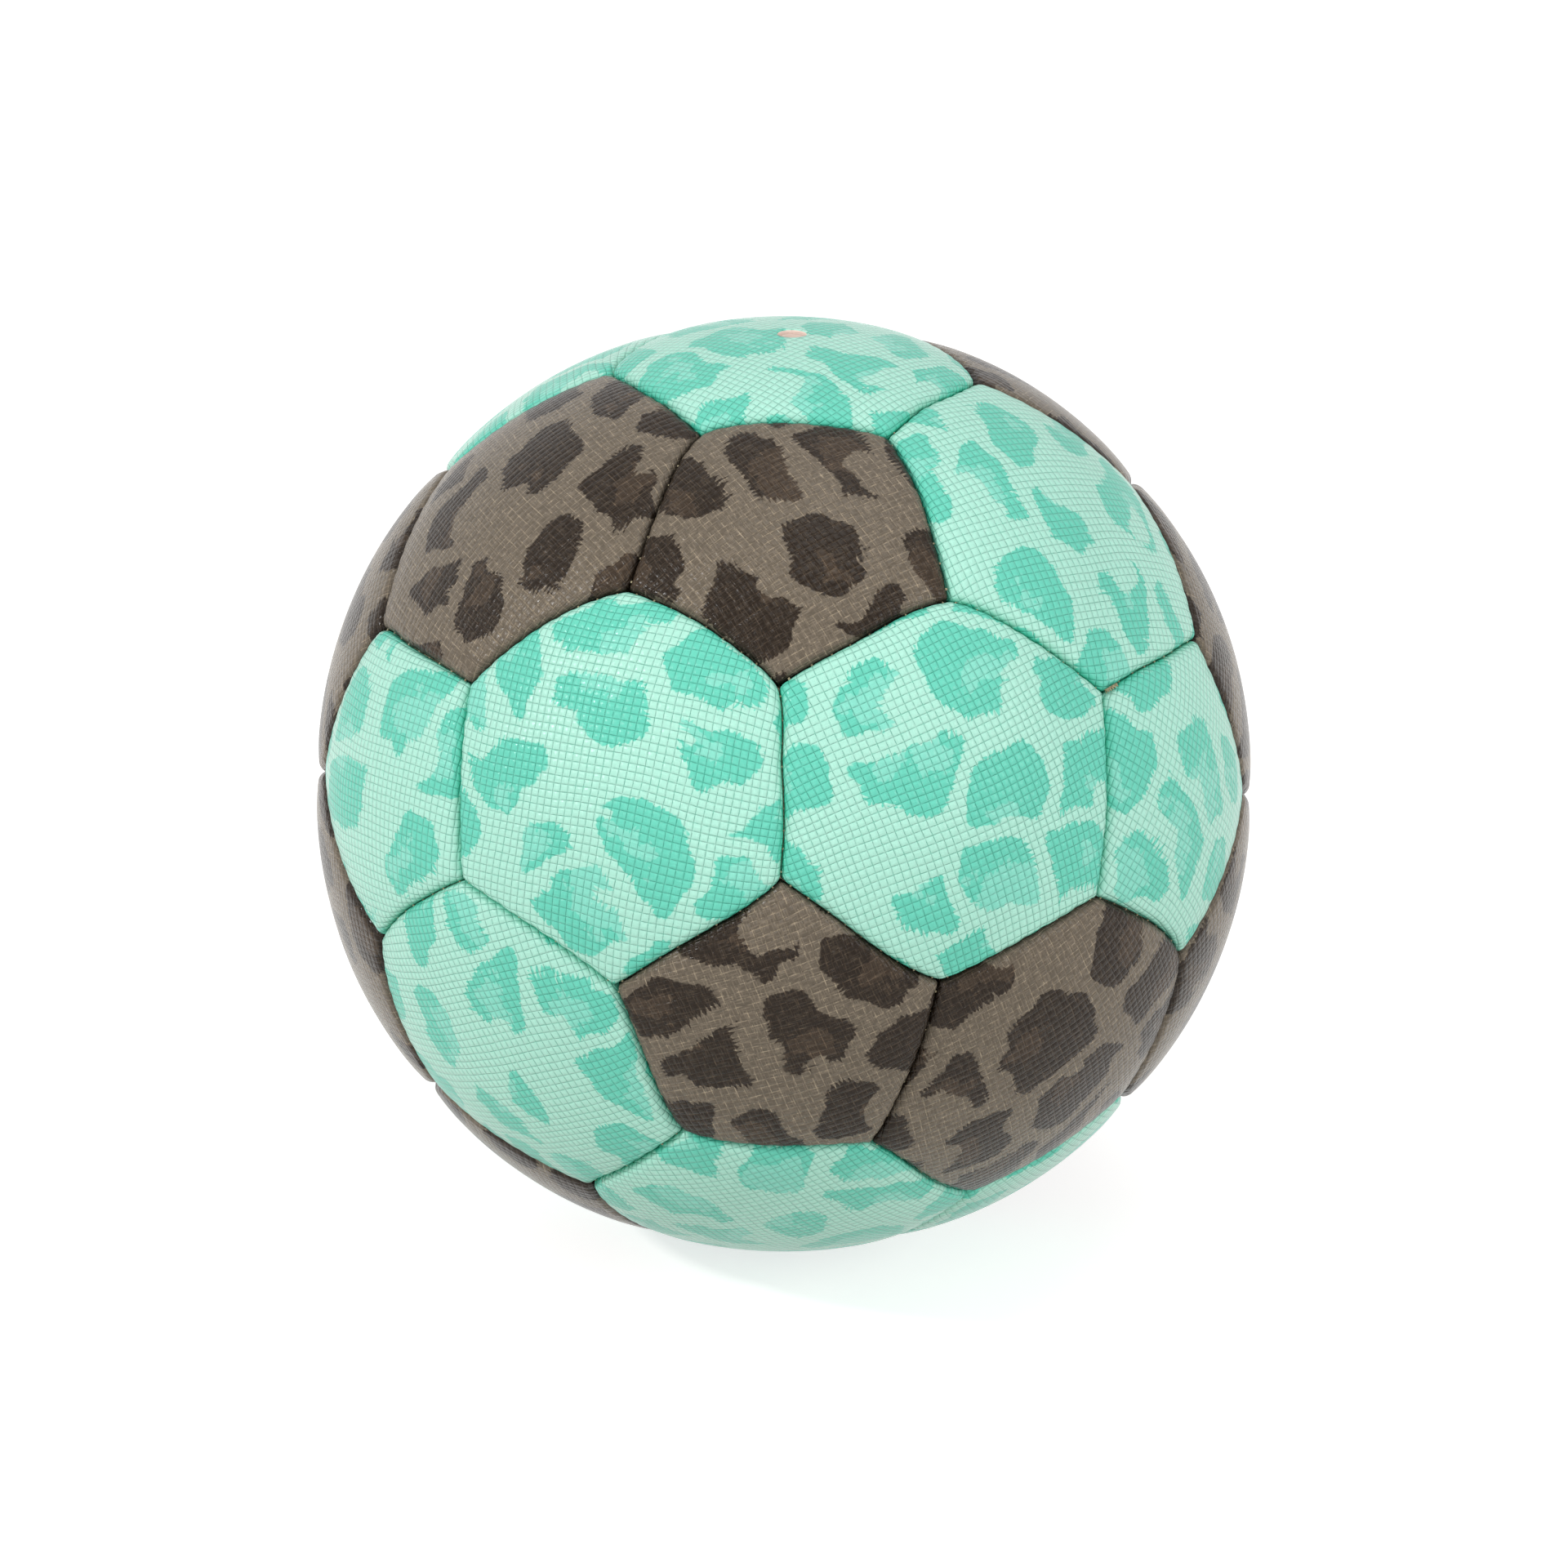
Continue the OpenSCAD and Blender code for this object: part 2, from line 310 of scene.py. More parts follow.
def on_ball(name, mesh, materials):
    """Puts a finished mesh on the ball, settled like the rest of the hand work."""
    set_points(mesh, settled(points_of(mesh)))
    for material in materials:
        mesh.materials.append(material)
    obj = bpy.data.objects.new(name, mesh)
    bpy.context.scene.collection.objects.link(obj)
    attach(obj, "root")
    return obj


def gathered(shape, places):
    """One bmesh with a copy of a shape at each place."""
    bm = bmesh.new()
    for place in places:
        start = len(bm.verts)
        bm.from_mesh(shape)
        bm.verts.ensure_lookup_table()
        for vert in bm.verts[start:]:
            vert.co = place @ vert.co
    return bm


# Node tools

def linear(code):
    """A colour written as web hex, in linear light, by the standard curve of screens."""
    parts = [int(code[i:i + 2], 16) / 255 for i in (0, 2, 4)]
    return [c / 12.92 if c <= 0.04045 else ((c + 0.055) / 1.055) ** 2.4 for c in parts] + [1]


class Nodes:
    """A node tree, with short names for the nodes that it uses."""

    def __init__(self, tree):
        self.tree = tree

    def put(self, value, socket):
        if isinstance(value, bpy.types.NodeSocket):
            self.tree.links.new(value, socket)
        elif value is not None:
            socket.default_value = value

    def node(self, kind, inputs=None, **settings):
        made = self.tree.nodes.new("ShaderNode" + kind)
        for key, value in settings.items():
            setattr(made, key, value)
        for key, value in (inputs or {}).items():
            self.put(value, made.inputs[key])
        return made

    def math(self, operation, a, b=None, c=None):
        return self.node("Math", {0: a, 1: b, 2: c}, operation=operation).outputs[0]

    def step(self, value, start, end):
        """0 before start and 1 after end, smooth between."""
        made = self.node("MapRange", {"Value": value, "From Min": start, "From Max": end},
                         interpolation_type="SMOOTHSTEP")
        return made.outputs["Result"]

    def between(self, lot, ends):
        """From the first end at 0 to the second at 1."""
        return self.math("MULTIPLY_ADD", lot, ends[1] - ends[0], ends[0])

    def vector(self, operation, a, b):
        return self.node("VectorMath", {0: a, 1: b}, operation=operation).outputs[0]

    def length(self, place):
        return self.node("VectorMath", {0: place}, operation="LENGTH").outputs["Value"]

    def parts(self, vector):
        return self.node("SeparateXYZ", {0: vector}).outputs

    def mix(self, factor, a, b, blend="MIX"):
        made = self.node("Mix", {0: factor, 6: a, 7: b}, data_type="RGBA", blend_type=blend)
        return made.outputs[2]

    def map(self, name):
        return self.node("UVMap", uv_map=name).outputs[0]

    def places(self):
        return self.node("TexCoord").outputs["Object"]

    def noise(self, place, span, detail=2, roughness=0.5, output="Fac"):
        made = self.node("TexNoise", {"Vector": place, "Scale": 1 / span, "Detail": detail,
                                      "Roughness": roughness})
        return made.outputs[output]

    def cells(self, place, shuffle, feature="F1"):
        """Outputs of a pattern of uneven cells, one unit wide."""
        return self.node("TexVoronoi", {"Vector": place, "Scale": 1, "Randomness": shuffle},
                         voronoi_dimensions="2D", feature=feature).outputs

    def white_seen(self):
        """1 for what the camera, gloss and glass see, and 0 for the light that falls on things."""
        rays = self.node("LightPath").outputs
        mirrored = self.math("MAXIMUM", rays["Is Glossy Ray"], rays["Is Transmission Ray"])
        return self.math("MAXIMUM", rays["Is Camera Ray"], mirrored)


class Finish(Nodes):
    """The nodes of one material."""

    def __init__(self, name, roughness, **sockets):
        self.material = bpy.data.materials.new(name)
        self.material.use_nodes = True
        super().__init__(self.material.node_tree)
        self.shader = self.tree.nodes["Principled BSDF"]
        self.shader.inputs["Roughness"].default_value = roughness
        for socket, value in sockets.items():
            self.shader.inputs[socket.replace("_", " ")].default_value = value

    def colour(self, value):
        self.put(value, self.shader.inputs["Base Color"])

    def bump(self, height, depth):
        made = self.node("Bump", {"Height": height, "Distance": depth, "Strength": 1.0})
        self.put(made.outputs[0], self.shader.inputs["Normal"])


# The print: rosettes with a paler heart, often open on one side, and edges that are combed in places.
# Sizes without a unit are shares of the span.
BLOTCH_SPAN = 16.5 * MM
BLOTCH_STRETCH = 1.28
BLOTCH_SHUFFLE = 0.8
BLOTCH_SIZES = (0.3, 0.7)
BLOTCH_GAP = 0.1
BLOTCH_ROUND = 0.12
BAY_SIZES = (-0.06, 0.33)
BAY_OUT = 0.44
BAY_ROUND = 0.06
HEART_SIZES = (0.06, 0.3)
HEART_OUT = 0.17
HEART_RIM = 0.02
HEART_LOTS = 7
HEART_WANDER_SPAN = 4 * MM
HEART_WANDER = 0.55
EDGE_SOFT = 0.01
WANDER_SPAN = 13 * MM
WANDER_ROUGHNESS = 0.45
WANDER = 0.66

# The hairs of the combed edges: their pitch, how it drifts, and how long they are in and between the patches
HAIR_PITCH = 1 * MM
HAIR_DRIFT_SPAN = 5 * MM
HAIR_DRIFT = 3
HAIR_ALONG = 9 * MM
HAIR_LENGTH = 1.7 * MM
HAIR_UNEVEN = (0.3, 0.7)
HAIR_PATCH_SPAN = 12 * MM
HAIR_PATCH_EDGE = (0.38, 0.6)
HAIR_PATCH_SHARES = (0.7, 2)
FUZZ_SPAN = 0.7 * MM
FUZZ = 0.55 * MM

# The embossed squares, with grooves darkened unevenly by painted shade on the mint and made paler on the
# gray, and the weave under them
SQUARE = 1.46 * MM
SQUARE_WANDER_SPAN = 6 * MM
SQUARE_WANDER = 0.25 * MM
SQUARE_ROUND = 0.24
GROOVE_EDGE = (0.04, 0.28)
GROOVE_STRENGTH_SPAN = 1.1 * MM
GROOVE_STRENGTH = (0.38, 0.62)
THREAD_ACROSS = 0.27 * MM
THREAD_ALONG = 2.6 * MM
THREAD_SHOWS = (0.45, 0.75)
WEAVE_HEIGHT = 0.03 * MM
WEAVE_MIDDLE = 0.3
BARE_SHARE = 0.24

# How light the ink is, how much it clouds over, and how strong the painted shade in the seams is
INK_LEVEL = 0.97
CLOUD_SPAN = 25 * MM
CLOUD = 0.06
SEAM_SHADE_SHARE = 0.95

# Cloth, foam, thread and rubber
CLOTH_ROUGHNESS = 0.85
CLOTH_HEIGHT = 0.05 * MM
STAIN_SPAN = 6 * MM
FOAM_ROUGHNESS = 0.9
PORE_SPAN = 0.5 * MM
PORE_EDGE = (0.1, 0.7)
PORE_DEPTH = 0.08 * MM
WAX_ROUGHNESS = 0.45
WAX_SPAN = 4 * MM
WAX_SHARE = 0.3
STRAND_SPAN = 0.35 * MM
STRAND_EDGE = (0.45, 0.85)
STRAND_HEIGHT = 0.06 * MM
BLOOM_SPAN = 9 * MM
BLOOM_EDGE = (0.35, 0.7)
BLOOM_SHARE = 0.5
SPECK_SPAN = 0.4 * MM
SPECK_SHARE = 0.2
RUBBER_HEIGHT = 0.05 * MM


def comb(f, place, across):
    """How far the comb moves a place: pointed hairs side by side, longer in some patches than in others."""
    patch = f.step(f.noise(place, HAIR_PATCH_SPAN, detail=1), *HAIR_PATCH_EDGE)
    drift = f.math("MULTIPLY", f.noise(place, HAIR_DRIFT_SPAN, detail=1), HAIR_DRIFT)
    teeth = f.math("PINGPONG", f.math("MULTIPLY_ADD", f.parts(place)[across], 1 / HAIR_PITCH, drift), 0.5)
    scale = [1 / HAIR_ALONG] * 2
    scale[across] = 1 / (2 * HAIR_PITCH)
    lengths = f.noise(f.vector("MULTIPLY", place, (*scale, 0)), 1, detail=1)
    lengths = f.math("MULTIPLY", f.step(lengths, *HAIR_UNEVEN), f.between(patch, HAIR_PATCH_SHARES))
    return f.math("MULTIPLY", teeth, f.math("MULTIPLY", lengths, HAIR_LENGTH))


def combed(f, place):
    """A place moved by combs of hairs both ways, and by a little fuzz."""
    fuzz = f.vector("MULTIPLY", f.noise(place, FUZZ_SPAN, detail=1, output="Color"), (FUZZ, FUZZ, 0))
    moved = f.node("CombineXYZ", {"X": comb(f, place, 1), "Y": comb(f, place, 0)}).outputs[0]
    return f.vector("ADD", f.vector("ADD", place, moved), fuzz)


def blotches(f, place):
    """Where the print is dark or has a heart: two masks."""
    bend = f.noise(place, WANDER_SPAN, detail=2, roughness=WANDER_ROUGHNESS, output="Color")
    bend = f.vector("SUBTRACT", bend, (0.5, 0.5, 0.5))
    at = f.vector("MULTIPLY", combed(f, place), (1 / BLOTCH_SPAN, 1 / (BLOTCH_SPAN * BLOTCH_STRETCH), 0))
    at = f.vector("ADD", at, f.vector("MULTIPLY", bend, (WANDER, WANDER, 0)))
    near = f.cells(at, BLOTCH_SHUFFLE)
    lots = f.node("SeparateColor", {0: near["Color"]}).outputs
    room = f.math("SUBTRACT", f.cells(at, BLOTCH_SHUFFLE, "F2")["Distance"], near["Distance"])
    room = f.math("MULTIPLY_ADD", room, 0.5, -BLOTCH_GAP)
    reach = f.math("SUBTRACT", f.between(lots[0], BLOTCH_SIZES), near["Distance"])
    body = f.math("SMOOTH_MIN", reach, room, BLOTCH_ROUND)

    # The heart and the bay lie on the same side of a blotch, and the heart has a lot of its own
    way = f.math("MULTIPLY", lots[1], 2 * math.pi)
    side = f.node("CombineXYZ", {"X": f.math("COSINE", way), "Y": f.math("SINE", way)}).outputs[0]
    off = f.vector("SUBTRACT", at, near["Position"])

    def hollow(out, size):
        """How deep a place lies in a round hollow, and less than 0 outside it."""
        middle = f.vector("MULTIPLY", side, (out, out, 0))
        return f.math("SUBTRACT", size, f.length(f.vector("SUBTRACT", off, middle)))

    bay = f.math("MULTIPLY", hollow(BAY_OUT, f.between(lots[2], BAY_SIZES)), -1)
    body = f.math("SMOOTH_MIN", body, bay, BAY_ROUND)
    heart_lot = f.math("FRACT", f.math("MULTIPLY", lots[2], HEART_LOTS))
    heart = hollow(HEART_OUT, f.between(heart_lot, HEART_SIZES))
    stray = f.math("SUBTRACT", f.noise(place, HEART_WANDER_SPAN, detail=2), 0.5)
    heart = f.math("MULTIPLY_ADD", stray, HEART_WANDER, heart)
    heart = f.math("MINIMUM", heart, f.math("ADD", room, HEART_RIM))
    return [f.step(depth, -EDGE_SOFT, EDGE_SOFT) for depth in (body, heart)]


def arch(f, value, pitch):
    """0 on the lines of a grid and 1 halfway between them."""
    return f.math("ABSOLUTE", f.math("SINE", f.math("MULTIPLY", value, math.pi / pitch)))


def linen(f, place):
    """Short light threads both ways, from 0 to 1."""
    long, short = 1 / THREAD_ALONG, 1 / THREAD_ACROSS
    ways = [f.noise(f.vector("MULTIPLY", place, scale), 1, detail=1) for scale in
            ((short, long, 0), (long, short, 0))]
    return f.step(f.math("MAXIMUM", ways[0], ways[1]), *THREAD_SHOWS)


def printed_cover(name, colours, groove_factor, groove_shares, depth, weave_share, seam_shade_power, roughness,
                  gloss):
    """Coated cloth with a print, pressed into squares. Colours: ground, blotch, heart and the painted shade
    of the seams.
    """
    ground, blotch, heart, painted_seam_shade = [linear(code) for code in colours.split()]
    f = Finish(name, roughness, Specular_IOR_Level=gloss)
    print_at, grain_at = f.map("print"), f.map("grain")
    dark, hearted = blotches(f, print_at)
    weave = linen(f, grain_at)
    inked = f.math("MULTIPLY", dark, f.math("MULTIPLY_ADD", weave, -BARE_SHARE * weave_share, 1))
    tone = f.mix(inked, ground, f.mix(hearted, blotch, heart))

    # Embossed squares, a little uneven, and the weave that shows through
    sway = f.noise(grain_at, SQUARE_WANDER_SPAN, detail=1, output="Color")
    sway = f.vector("MULTIPLY", sway, (SQUARE_WANDER, SQUARE_WANDER, 0))
    axes = f.parts(f.vector("ADD", grain_at, sway))
    column, row = arch(f, axes[0], SQUARE), arch(f, axes[1], SQUARE)
    groove = f.math("SUBTRACT", 1.0, f.step(f.math("MINIMUM", column, row), *GROOVE_EDGE))
    groove_strength = f.step(f.noise(grain_at, GROOVE_STRENGTH_SPAN, detail=2), *GROOVE_STRENGTH)
    groove = f.math("MULTIPLY", groove, f.between(groove_strength, groove_shares))
    # The groove factor colours the grooves: on the mint it darkens them as painted shade, on the gray it
    # makes them paler
    tone = f.mix(groove, tone, groove_factor, blend="MULTIPLY")
    cloud = f.noise(print_at, CLOUD_SPAN)
    level = f.math("MULTIPLY_ADD", f.math("SUBTRACT", weave, WEAVE_MIDDLE), weave_share, INK_LEVEL)
    level = f.math("ADD", level, f.math("MULTIPLY", cloud, CLOUD))
    shade = f.node("CombineColor", {0: level, 1: level, 2: level}).outputs[0]
    tone = f.mix(1.0, tone, shade, blend="MULTIPLY")
    # Painted shade, strongest in the seams and fading out beside them
    seam_shade_mask = f.math("POWER", f.node("Attribute", attribute_name="painted_seam_shade").outputs["Fac"], seam_shade_power)
    f.colour(f.mix(f.math("MULTIPLY", seam_shade_mask, SEAM_SHADE_SHARE), tone, painted_seam_shade))

    pillow = f.math("POWER", f.math("MULTIPLY", column, row), SQUARE_ROUND)
    f.bump(f.math("MULTIPLY_ADD", weave, WEAVE_HEIGHT, f.math("MULTIPLY", pillow, depth)), 1)
    return f.material


def woven_back(name, base, tint, span):
    """Plain cloth with a little stain."""
    f = Finish(name, CLOTH_ROUGHNESS)
    at = f.places()
    axes = f.parts(at)
    over = f.math("MULTIPLY", arch(f, axes[0], span), arch(f, axes[1], span))
    over = f.math("MAXIMUM", over, arch(f, axes[2], span))
    stain = f.noise(at, STAIN_SPAN, detail=3)
    f.colour(f.mix(f.math("MULTIPLY", f.math("ADD", over, stain), 0.5), linear(base), linear(tint)))
    f.bump(over, CLOTH_HEIGHT)
    return f.material


def open_foam(name, base, tint):
    """Foam with open pores, painted darker in the pores as painted shade."""
    f = Finish(name, FOAM_ROUGHNESS)
    at = f.places()
    pores = f.node("TexVoronoi", {"Vector": at, "Scale": 1 / PORE_SPAN}).outputs["Distance"]
    # The pores are painted darker, as painted shade in them
    f.colour(f.mix(f.step(pores, *PORE_EDGE), linear(tint), linear(base)))
    f.bump(pores, PORE_DEPTH)
    return f.material


def waxed_thread(name, base, tint):
    """Twisted thread, darker where its wax is thin, and darker between its strands as painted shade."""
    f = Finish(name, WAX_ROUGHNESS)
    at = f.places()
    strands = f.noise(at, STRAND_SPAN, detail=2)
    wax = f.noise(at, WAX_SPAN)
    # Lighter on the strands and darker between them as painted shade, and darker where the wax is thin
    light = f.step(f.math("ADD", strands, f.math("MULTIPLY", wax, WAX_SHARE)), *STRAND_EDGE)
    f.colour(f.mix(light, linear(tint), linear(base)))
    f.bump(strands, STRAND_HEIGHT)
    return f.material


def moulded_rubber(name, base, tint, roughness):
    """Rubber or latex with clouds of bloom and a fine grain."""
    f = Finish(name, roughness)
    at = f.places()
    cloud = f.noise(at, BLOOM_SPAN, detail=3)
    speck = f.noise(at, SPECK_SPAN, detail=2)
    bloom = f.math("MULTIPLY", f.step(cloud, *BLOOM_EDGE), BLOOM_SHARE)
    f.colour(f.mix(bloom, linear(base), linear(tint)))
    f.bump(f.math("ADD", cloud, f.math("MULTIPLY", speck, SPECK_SHARE)), RUBBER_HEIGHT)
    return f.material


# The fourth colour of each printed cover is painted seam shade: teal on the mint, as painted light bounced
# between the seam's walls, and near black on the gray.
FINISHES = {
    # The mint's groove factor darkens its grooves as painted shade
    "mint_cover": printed_cover("mint_cover", "aae0ce 66cbb4 83d5c1 1cb08e",
                                groove_factor=(0.46, 0.78, 0.71, 1), groove_shares=(0.14, 0.7),
                                depth=0.32 * MM, weave_share=0.08, seam_shade_power=1.9,
                                roughness=0.2, gloss=0.2),
    # The gray's groove factor makes its grooves paler
    "gray_cover": printed_cover("gray_cover", "685e51 261c13 3b2f24 0c0a08",
                                groove_factor=(2.4, 2.4, 2.3, 1), groove_shares=(0.12, 1.0),
                                depth=0.2 * MM, weave_share=0.6, seam_shade_power=2.2,
                                roughness=0.21, gloss=0.16),
    "skin_backing": woven_back("skin_backing", "efdcd2", "dcc4b8", 0.5 * MM),
    "foam": open_foam("foam", "f2efe6", "ddd8c8"),
    "lining_cloth": woven_back("lining_cloth", "dcd6c4", "c4bca4", 0.8 * MM),
    "waxed_thread": waxed_thread("waxed_thread", "b5aa88", "7a6e50"),
    "latex": moulded_rubber("latex", "e9d3ae", "d6b987", 0.38),
    "latex_patch": moulded_rubber("latex_patch", "e2c391", "c9a468", 0.45),
    "valve_rubber": moulded_rubber("valve_rubber", "d9c1b4", "b0948a", 0.5),
    "core_rubber": moulded_rubber("core_rubber", "3c3836", "57504c", 0.6),
}


# Cover panels: a flat blank of triangles in rings, with an edge that turns down and a back

# The parts of a blank, from its outside to the bore of the valve hole
OUTSIDE, WALL, FOOT, BACK, LIP, HOLE, BORE = range(7)


class Blank:
    """The flat pattern of one kind of panel, which each panel of that kind bends to its own shape."""

    def __init__(self, sides, valve=False):
        bm = bmesh.new()
        bmesh.ops.create_circle(bm, cap_ends=True, segments=sides, radius=1)
        bmesh.ops.poke(bm, faces=bm.faces[:])
        bmesh.ops.subdivide_edges(bm, edges=bm.edges[:], cuts=RINGS - 1, use_grid_fill=True)
        turn = Matrix.Rotation(math.pi / sides - math.pi / 2, 3, "Z")
        bmesh.ops.rotate(bm, verts=bm.verts[:], matrix=turn)
        self.bm, self.part = bm, bm.verts.layers.int.new("part")
        self.share, self.pull = (bm.verts.layers.float.new(name) for name in ("share", "pull"))
        step = 2 * math.pi / sides
        for vert in bm.verts:
            theta = (bearing_of(vert.co) + step / 2) % step - step / 2
            vert[self.share] = min(1, vert.co.xy.length * math.cos(theta) / math.cos(step / 2))
            vert[self.pull] = 1

        hole = []
        if valve:
            middle = [v for v in bm.verts if v[self.share] < (HOLE_RING - 0.5) / RINGS]
            bmesh.ops.delete(bm, geom=middle, context="VERTS")
            hole = [e for e in boundary(bm) if e.verts[0][self.share] < 0.5]
            for edge in hole:
                for vert in edge.verts:
                    vert[self.part] = LIP
        rim = [e for e in boundary(bm) if e not in hole]
        turned_in = 1 - FLANGE_T / (BALL_R * math.tan(HALF_ANGLE[sides]))
        for part, pull in (WALL, 1), (FOOT, 1), (FOOT, turned_in):
            rim = self.extended(rim, part, pull)
        for ring in BACK_RINGS:
            rim = self.extended(rim, BACK, turned_in * ring)
        for part in (HOLE, BORE) if valve else ():
            hole = self.extended(hole, part, 1)
        if valve:
            bmesh.ops.bridge_loops(bm, edges=rim + hole)
        else:
            ends = list(dict.fromkeys(v for e in rim for v in e.verts))
            bmesh.ops.pointmerge(bm, verts=ends, merge_co=(0, 0, 0))
            next(v for v in bm.verts if v[self.part] == BACK and v.co.length == 0)[self.pull] = 0
        for face in bm.faces:
            parts = {v[self.part] for v in face.verts}
            face.material_index = int(parts <= {FOOT, BACK} or BORE in parts)

        rows = [(bearing_of(v.co), v[self.share], v[self.pull], v[self.part]) for v in bm.verts]
        self.bearing, self.shares, self.pulls, self.parts = np.array(rows).T
        panel = VALVE_PANEL if valve else next(p for p in PANELS[1:] if p.sides == sides)
        places = panel_points(panel, self, np.full(sides, CORNER_R[0]))[0]
        for vert, place in zip(bm.verts, places):
            vert.co = place
        self.mesh = to_mesh(bm, "blank", SKIN_SMOOTH_ANGLE)
        for layer in ("share", "pull", "part"):
            self.mesh.attributes.remove(self.mesh.attributes[layer])

    def extended(self, rim, part, pull):
        edges, verts = drawn(self.bm, rim)
        for vert in verts:
            vert[self.part], vert[self.pull] = part, pull
        return edges


def panel_points(panel, blank, corners):
    """Where each point of a blank goes on its panel, its run along the skin, and how much painted seam shade
    it gets, more towards a seam.
    """
    bearing, share = blank.bearing, blank.shares
    corner_r = corners[np.floor(bearing / panel.step).astype(int) % panel.sides] / BALL_R
    corner_r = np.where(blank.parts == OUTSIDE, corner_r, DEEP_CORNER_R / BALL_R)
    roll_from = 1 - ROLL_RINGS / RINGS
    roll = np.clip((share - roll_from) / (1 - roll_from), 0, 1) * math.pi / 2
    inner = np.minimum(1, share / roll_from)
    apothem = panel.apothem(SEAM_GAP / 2) - (panel.apothem(0) - panel.apothem(ROLL_W)) * (1 - np.sin(roll))
    apothem = apothem * inner
    corner = np.minimum(apothem, apothem + (corner_r - apothem) * inner**2)
    slope = panel.outline(bearing, apothem, corner)
    tilt = np.arctan(slope)
    theta = panel.folded(bearing)
    to_seam = (panel.apothem(0) - slope * np.cos(theta)) * BALL_R * math.cos(panel.half) ** 2
    along = BALL_R * np.arctan2(slope * np.sin(theta), np.hypot(1, slope * np.cos(theta)))
    drop = ROLL_DEPTH * (1 - np.cos(roll)) + SHOULDER_DROP * np.maximum(0, 1 - to_seam / SHOULDER_W) ** 2
    at_stitch = 0.5 + 0.5 * np.cos(2 * math.pi * along / STITCH_PITCH)
    drop += STITCH_PUCKER * at_stitch**2 * np.exp(-to_seam / PUCKER_W)
    radius = panel.crown(tilt) - drop
    run = BALL_R * tilt + ROLL_DEPTH * (1 - np.cos(roll))

    # The turned-in edge goes down to the lining, and the back follows the crown
    slope = slope * blank.pulls
    tilt = np.arctan(slope)
    radius = np.where(blank.parts == WALL, BALL_R - WALL_DEPTH, radius)
    radius = np.where(blank.parts == FOOT, LINING_IN_R, radius)
    radius = np.where(blank.parts == BACK, panel.crown(tilt) - BACK_DEPTH, radius)
    points = panel.at(slope, bearing, radius)
    around = np.stack((np.cos(bearing), np.sin(bearing)), axis=-1)
    for part, hole_r, depth in (LIP, HOLE_R + HOLE_LIP, 0), (HOLE, HOLE_R, HOLE_LIP), (BORE, HOLE_R, SKIN_T):
        ring = blank.parts == part
        points[ring, :2] = hole_r * around[ring]
        points[ring, 2] = BALL_R - depth
    # Painted seam shade: full on the turned-down edge and the back, fading out from the seam on the outside,
    # none in the valve hole
    seam_shade_mask = np.where(blank.parts == OUTSIDE, np.exp(-np.maximum(to_seam, 0) / SEAM_SHADE_W), 1)
    seam_shade_mask[blank.parts >= LIP] = 0
    return points, run, seam_shade_mask


def lay_map(mesh, name, turn, shift, run, bearing):
    """A map in metres along the skin, turned and shifted."""
    corners = np.empty(len(mesh.loops), dtype=np.int32)
    mesh.loops.foreach_get("vertex_index", corners)
    flat = np.stack((run * np.cos(bearing + turn), run * np.sin(bearing + turn)), axis=-1) + shift
    mesh.uv_layers.new(name=name).uv.foreach_set("vector", flat[corners].astype(np.float32).ravel())


def cover_panel(panel, blank, luck):
    """The skin of one panel: crowned, rolled at the seams, turned in, and closed behind."""
    corners = np.array([luck.uniform(*CORNER_R) for _ in range(panel.sides)])
    points, run, seam_shade_mask = panel_points(panel, blank, corners)
    points *= 1 - luck.uniform(0, SLACK) / BALL_R
    mesh = blank.mesh.copy()
    set_points(mesh, points @ np.array(panel.matrix).T)
    # The painted seam shade goes to the material as an attribute
    mesh.attributes.new("painted_seam_shade", "FLOAT", "POINT").data.foreach_set("value", seam_shade_mask.astype(np.float32))
    shift = np.array([luck.uniform(-1, 1), luck.uniform(-1, 1)])
    for name in ("print", "grain"):
        lay_map(mesh, name, luck.uniform(0, 2 * math.pi), shift, run, blank.bearing)
    slot = "mint_cover" if panel.mint else "gray_cover"
    skins = [FINISHES[slot], FINISHES["skin_backing"]]
    obj = on_ball(panel.node.replace("_panel", "_cover"), mesh, skins)
    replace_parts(obj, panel.node)


BLANKS = {"hexagon": Blank(6), "pentagon": Blank(5), "valve": Blank(6, valve=True)}
luck = random.Random(PANEL_SEED)
for panel in PANELS:
    cover_panel(panel, BLANKS[panel.node.split("_")[0]], luck)


# Foam and cloth behind each panel

def layer_shape(panel, top, bottom, hole_r):
    """One closed layer behind a panel, which may have a round hole in its middle."""
    bm = bmesh.new()
    edge = panel.apothem(SEAM_GAP / 2 + FLANGE_T + PLY_GAP)
    shares = [(k + 1) / PAD_RINGS for k in range(PAD_RINGS)]

    def place(verts, share, radius):
        bearings = np.array([bearing_of(v.co) for v in verts])
        slope = panel.outline(bearings, edge * share, min(CORNER_R[0] / BALL_R, edge * share))
        slope = np.maximum(slope, hole_r / BALL_R)
        for vert, point in zip(verts, panel.at(slope, bearings, radius(np.arctan(slope)))):
            vert.co = point

    ring = bmesh.ops.create_circle(bm, segments=PAD_SIDE_SEGMENTS * panel.sides, radius=BALL_R)["verts"]
    place(ring, shares[0], top)
    first = rim = bm.edges[:]
    for share, radius in [(s, top) for s in shares[1:]] + [(s, bottom) for s in reversed(shares)]:
        rim, verts = drawn(bm, rim)
        place(list(verts), share, radius)
    if hole_r:
        bmesh.ops.bridge_loops(bm, edges=first + rim)
    else:
        bmesh.ops.holes_fill(bm, edges=first + rim, sides=0)
    return to_mesh(bm, "layer")


